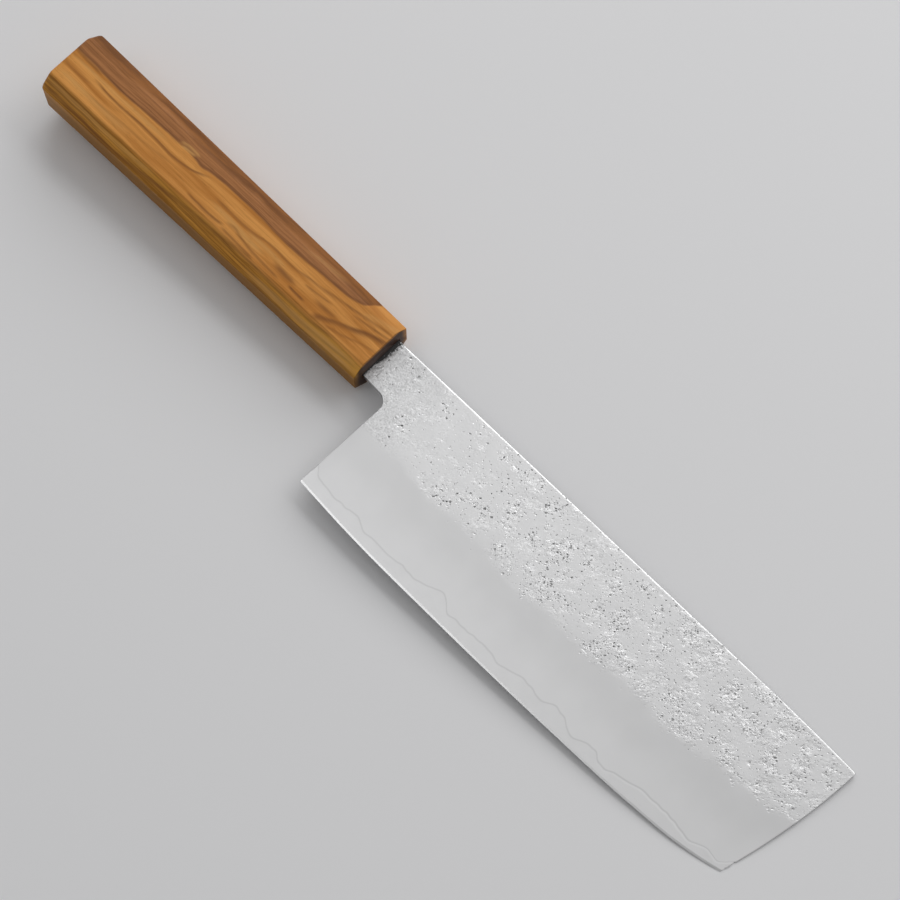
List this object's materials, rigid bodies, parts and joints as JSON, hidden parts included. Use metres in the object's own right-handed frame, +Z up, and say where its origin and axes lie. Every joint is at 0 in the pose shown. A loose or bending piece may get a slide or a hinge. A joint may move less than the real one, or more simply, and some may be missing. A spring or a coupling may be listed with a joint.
{
  "type": "nakiri knife",
  "caption": "Japanese vegetable knife lying on its side: three-layer forged steel blade with a straight edge and squared tip, glued into an octagonal olive-wood handle.",
  "frame": {"origin": "centre of the bounding box, on the surface that the knife lies on", "axes": "+X along the knife towards the tip, +Y from the edge towards the spine, +Z up, out of the blade's right side"},
  "size_m": [0.3188, 0.0582, 0.0247],
  "materials": {
    "core_steel": "fine satin, sharpened at the edge",
    "clad_steel": "satin below, hammered pear skin above",
    "olive_wood": "oiled satin, golden with a dark heartwood band",
    "dowel_wood": "dark stained end grain",
    "adhesive": "dark set resin"
  },
  "bodies": {
    "root": {"core_steel": "core_steel", "side_layer_right": "clad_steel", "side_layer_left": "clad_steel", "handle_body": "olive_wood", "tang_dowel": "dowel_wood", "tang_adhesive": "adhesive"}
  },
  "joints": []
}
